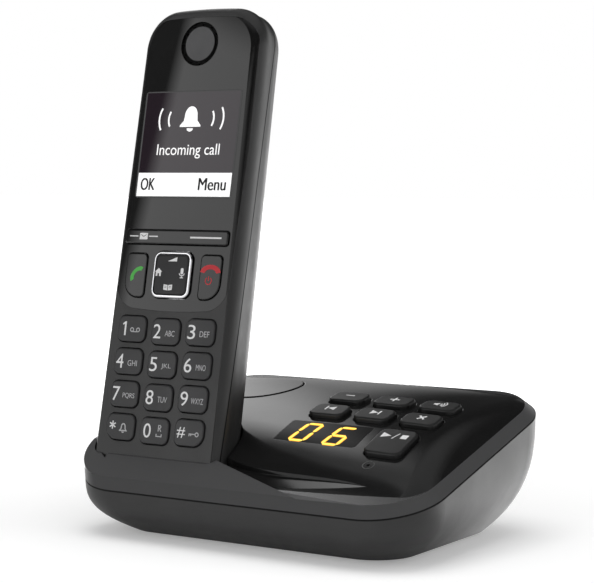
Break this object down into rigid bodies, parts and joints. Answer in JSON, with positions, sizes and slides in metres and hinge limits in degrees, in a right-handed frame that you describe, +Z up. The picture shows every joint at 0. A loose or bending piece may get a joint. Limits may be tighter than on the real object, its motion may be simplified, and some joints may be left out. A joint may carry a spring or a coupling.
{
  "type": "answering machine",
  "caption": "Telephone answering machine: cordless handset leaning in a wedge-shaped charging base with playback keys and a two-digit display.",
  "frame": {"origin": "centre of the base's plan outline, on the floor that the rubber feet stand on", "axes": "+X to the right, +Y to the back, +Z up; the handset stands at -X"},
  "size_m": [0.1226, 0.0896, 0.1594],
  "materials": {
    "deck_gloss": "gloss black",
    "housing_grey": "satin dark grey",
    "foot_rubber": "matte black",
    "screw_steel": "satin",
    "mat_rubber": "matte grey",
    "board_green": "green solder mask",
    "window_black": "smoked black, polished",
    "digit_amber": "amber segments in a dark case",
    "component_metal": "satin",
    "socket_black": "matte black",
    "contact_metal": "gold plated",
    "handset_satin": "satin dark grey",
    "faceplate_gloss": "gloss black",
    "earpiece_grey": "satin grey",
    "screen_dark": "polished, dark",
    "battery_blue": "printed sleeve",
    "ring_silver": "satin silver",
    "key_grained": "grained",
    "key_black": "satin black"
  },
  "bodies": {
    "base": {"lower_shell": "housing_grey", "upper_shell": "deck_gloss", "rubber_feet": "foot_rubber", "base_screws": "screw_steel", "key_mat": "mat_rubber", "circuit_board": "board_green", "display_window": "window_black", "digit_display": "digit_amber", "base_microphone": "component_metal", "base_loudspeaker": "component_metal", "line_socket": "socket_black", "power_socket": "socket_black", "charging_contacts": "contact_metal"},
    "handset": {"rear_shell": "handset_satin", "front_shell": "handset_satin", "faceplate": "faceplate_gloss", "earpiece_cover": "earpiece_grey", "receiver_capsule": "component_metal", "screen_lens": "screen_dark", "display_module": "screen_dark", "keypad_mat": "mat_rubber", "handset_board": "board_green", "ringer": "component_metal", "handset_microphone": "component_metal", "battery_cells": "battery_blue", "battery_contacts": "contact_metal", "handset_contacts": "contact_metal"},
    "skip_back_key": {"skip_back_key": "key_black"},
    "skip_forward_key": {"skip_forward_key": "key_black"},
    "delete_key": {"delete_key": "key_black"},
    "volume_down_key": {"volume_down_key": "key_black"},
    "volume_up_key": {"volume_up_key": "key_black"},
    "speaker_key": {"speaker_key": "key_black"},
    "play_stop_key": {"play_stop_key": "key_black"},
    "page_button": {"page_button": "deck_gloss"},
    "key_star": {"key_star": "key_black"},
    "key_0": {"key_0": "key_black"},
    "key_hash": {"key_hash": "key_black"},
    "key_7": {"key_7": "key_black"},
    "key_8": {"key_8": "key_black"},
    "key_9": {"key_9": "key_black"},
    "key_4": {"key_4": "key_black"},
    "key_5": {"key_5": "key_black"},
    "key_6": {"key_6": "key_black"},
    "key_1": {"key_1": "key_black"},
    "key_2": {"key_2": "key_black"},
    "key_3": {"key_3": "key_black"},
    "talk_key": {"talk_key": "faceplate_gloss"},
    "end_key": {"end_key": "faceplate_gloss"},
    "soft_key_bar": {"soft_key_bar": "faceplate_gloss"},
    "navigation_ring": {"navigation_ring": "ring_silver"},
    "navigation_key": {"navigation_key": "key_grained"},
    "battery_cover": {"battery_cover": "handset_satin"}
  },
  "joints": [
    {"name": "handset_lift", "type": "slide", "parent": "base", "child": "handset", "axis": [0, 0.1959, 0.9806], "range_m": [0, 0.06]},
    {"name": "skip_back_key_press", "type": "slide", "parent": "base", "child": "skip_back_key", "axis": [-0.0068, 0.2688, -0.9632], "range_m": [0, 0.0008], "stiffness_N_per_m": 300},
    {"name": "skip_forward_key_press", "type": "slide", "parent": "base", "child": "skip_forward_key", "axis": [-0.0198, 0.2688, -0.963], "range_m": [0, 0.0008], "stiffness_N_per_m": 300},
    {"name": "delete_key_press", "type": "slide", "parent": "base", "child": "delete_key", "axis": [-0.0328, 0.2687, -0.9627], "range_m": [0, 0.0008], "stiffness_N_per_m": 300},
    {"name": "volume_down_key_press", "type": "slide", "parent": "base", "child": "volume_down_key", "axis": [-0.0069, 0.1862, -0.9825], "range_m": [0, 0.0008], "stiffness_N_per_m": 300},
    {"name": "volume_up_key_press", "type": "slide", "parent": "base", "child": "volume_up_key", "axis": [-0.0202, 0.1862, -0.9823], "range_m": [0, 0.0008], "stiffness_N_per_m": 300},
    {"name": "speaker_key_press", "type": "slide", "parent": "base", "child": "speaker_key", "axis": [-0.0335, 0.1861, -0.982], "range_m": [0, 0.0008], "stiffness_N_per_m": 300},
    {"name": "play_stop_key_press", "type": "slide", "parent": "base", "child": "play_stop_key", "axis": [-0.0303, 0.3745, -0.9267], "range_m": [0, 0.0008], "stiffness_N_per_m": 300},
    {"name": "page_button_press", "type": "slide", "parent": "base", "child": "page_button", "axis": [0.0261, 0.1195, -0.9925], "range_m": [0, 0.0008], "stiffness_N_per_m": 300},
    {"name": "key_star_press", "type": "slide", "parent": "handset", "child": "key_star", "axis": [0, 0.9806, -0.1959], "range_m": [0, 0.0004], "stiffness_N_per_m": 300},
    {"name": "key_0_press", "type": "slide", "parent": "handset", "child": "key_0", "axis": [0, 0.9806, -0.1959], "range_m": [0, 0.0004], "stiffness_N_per_m": 300},
    {"name": "key_hash_press", "type": "slide", "parent": "handset", "child": "key_hash", "axis": [0, 0.9806, -0.1959], "range_m": [0, 0.0004], "stiffness_N_per_m": 300},
    {"name": "key_7_press", "type": "slide", "parent": "handset", "child": "key_7", "axis": [0, 0.9806, -0.1959], "range_m": [0, 0.0004], "stiffness_N_per_m": 300},
    {"name": "key_8_press", "type": "slide", "parent": "handset", "child": "key_8", "axis": [0, 0.9806, -0.1959], "range_m": [0, 0.0004], "stiffness_N_per_m": 300},
    {"name": "key_9_press", "type": "slide", "parent": "handset", "child": "key_9", "axis": [0, 0.9806, -0.1959], "range_m": [0, 0.0004], "stiffness_N_per_m": 300},
    {"name": "key_4_press", "type": "slide", "parent": "handset", "child": "key_4", "axis": [0, 0.9806, -0.1959], "range_m": [0, 0.0004], "stiffness_N_per_m": 300},
    {"name": "key_5_press", "type": "slide", "parent": "handset", "child": "key_5", "axis": [0, 0.9806, -0.1959], "range_m": [0, 0.0004], "stiffness_N_per_m": 300},
    {"name": "key_6_press", "type": "slide", "parent": "handset", "child": "key_6", "axis": [0, 0.9806, -0.1959], "range_m": [0, 0.0004], "stiffness_N_per_m": 300},
    {"name": "key_1_press", "type": "slide", "parent": "handset", "child": "key_1", "axis": [0, 0.9806, -0.1959], "range_m": [0, 0.0004], "stiffness_N_per_m": 300},
    {"name": "key_2_press", "type": "slide", "parent": "handset", "child": "key_2", "axis": [0, 0.9806, -0.1959], "range_m": [0, 0.0004], "stiffness_N_per_m": 300},
    {"name": "key_3_press", "type": "slide", "parent": "handset", "child": "key_3", "axis": [0, 0.9806, -0.1959], "range_m": [0, 0.0004], "stiffness_N_per_m": 300},
    {"name": "talk_key_press", "type": "slide", "parent": "handset", "child": "talk_key", "axis": [0, 0.9806, -0.1959], "range_m": [0, 0.0004], "stiffness_N_per_m": 300},
    {"name": "end_key_press", "type": "slide", "parent": "handset", "child": "end_key", "axis": [0, 0.9806, -0.1959], "range_m": [0, 0.0004], "stiffness_N_per_m": 300},
    {"name": "soft_key_bar_rock", "type": "hinge", "parent": "handset", "child": "soft_key_bar", "pos_m": [-0.0341, -0.0174, 0.08857], "axis": [0, 0.1959, 0.9806], "range_deg": [-1, 1], "stiffness_Nm_per_rad": 0.06},
    {"name": "navigation_tilt", "type": "hinge", "parent": "handset", "child": "navigation_ring", "pos_m": [-0.0341, -0.01966, 0.0773], "axis": [1, 0, 0], "range_deg": [-2, 2], "stiffness_Nm_per_rad": 0.05},
    {"name": "navigation_roll", "type": "hinge", "parent": "navigation_ring", "child": "navigation_key", "pos_m": [-0.0341, -0.02064, 0.07749], "axis": [0, 0.1959, 0.9806], "range_deg": [-2, 2], "stiffness_Nm_per_rad": 0.05},
    {"name": "battery_cover_pull", "type": "slide", "parent": "handset", "child": "battery_cover", "axis": [0, 0.9806, -0.1959], "range_m": [0, 0.02]}
  ]
}
